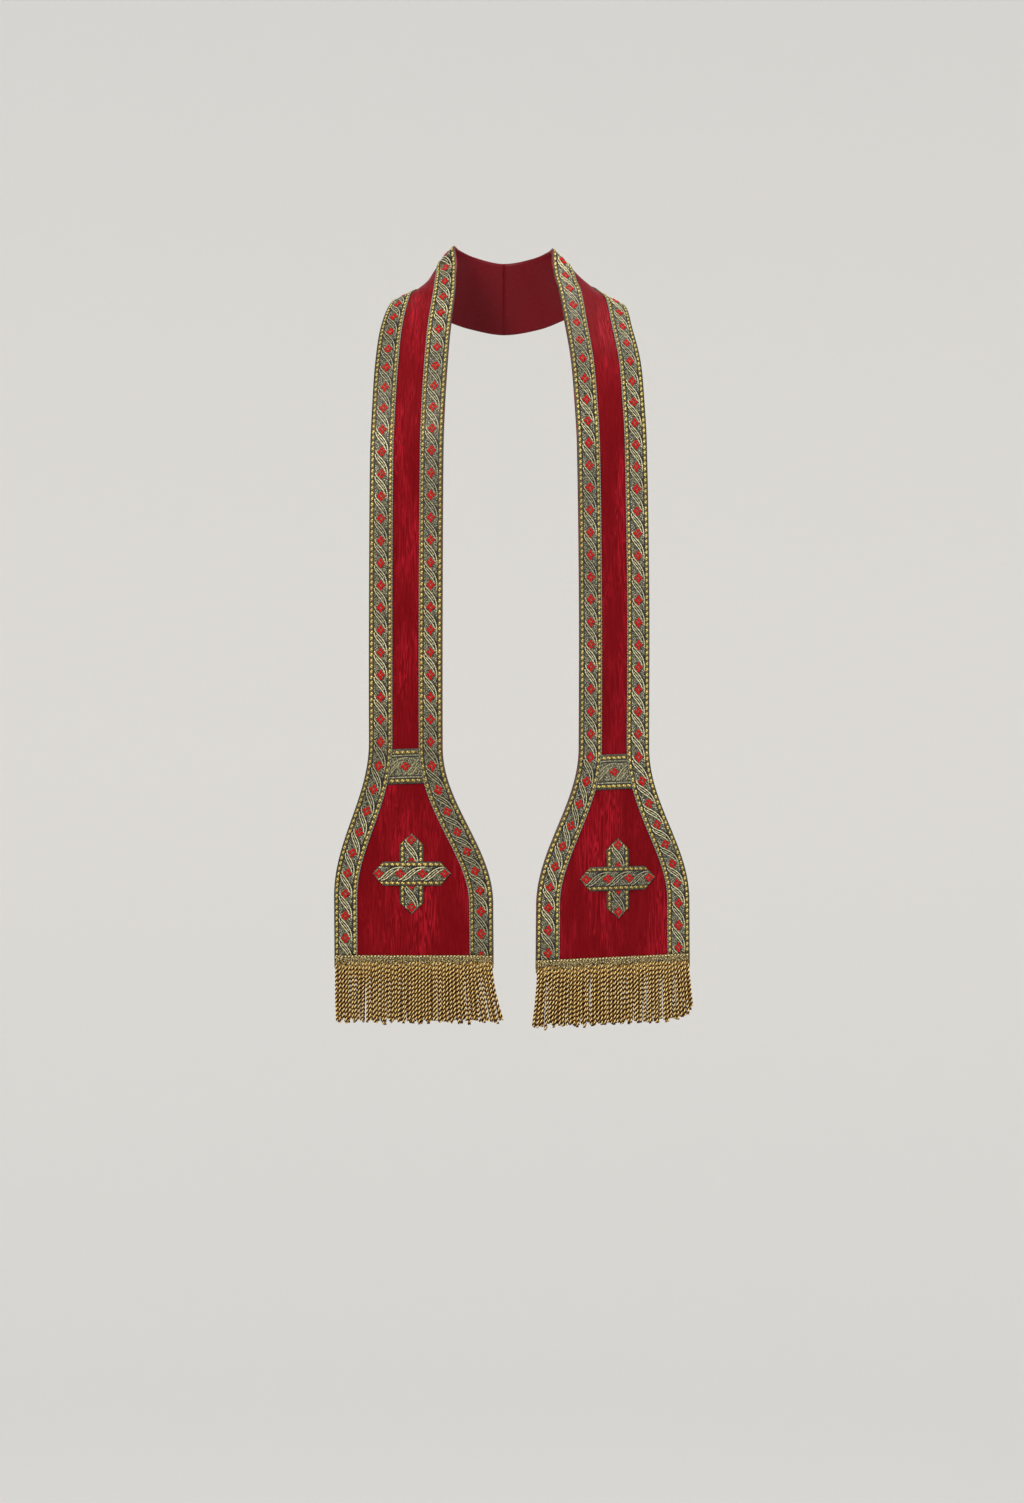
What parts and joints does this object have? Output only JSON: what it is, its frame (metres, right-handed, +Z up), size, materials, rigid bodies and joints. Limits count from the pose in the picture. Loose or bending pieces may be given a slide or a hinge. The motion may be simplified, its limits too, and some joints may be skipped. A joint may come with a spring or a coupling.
{
  "type": "roman stole",
  "caption": "Long narrow red vestment band worn round the neck, both ends hanging in front, with galloon edges, spade-shaped ends, crosses and gold fringe.",
  "frame": {"origin": "middle of the band's underside at the centre back of the neck, where the neck carries it", "axes": "+Z up, the front faces -Y, +X is the wearer's left"},
  "size_m": [0.4512, 0.2652, 1.0018],
  "materials": {
    "moire": "red moiré silk with a watered sheen",
    "galloon": "woven metallic galloon, red florets",
    "cross": "woven metallic galloon, red florets",
    "fringe": "twisted gold thread"
  },
  "bodies": {
    "root": {"panel_left": "moire", "panel_right": "moire", "galloon_inner_left": "galloon", "galloon_inner_right": "galloon", "galloon_outer_left": "galloon", "galloon_outer_right": "galloon", "crossband_left": "galloon", "crossband_right": "galloon", "cross_upright_left": "cross", "cross_upright_right": "cross", "cross_bar_left": "cross", "cross_bar_right": "cross", "fringe_left": "fringe", "fringe_right": "fringe"}
  },
  "joints": []
}
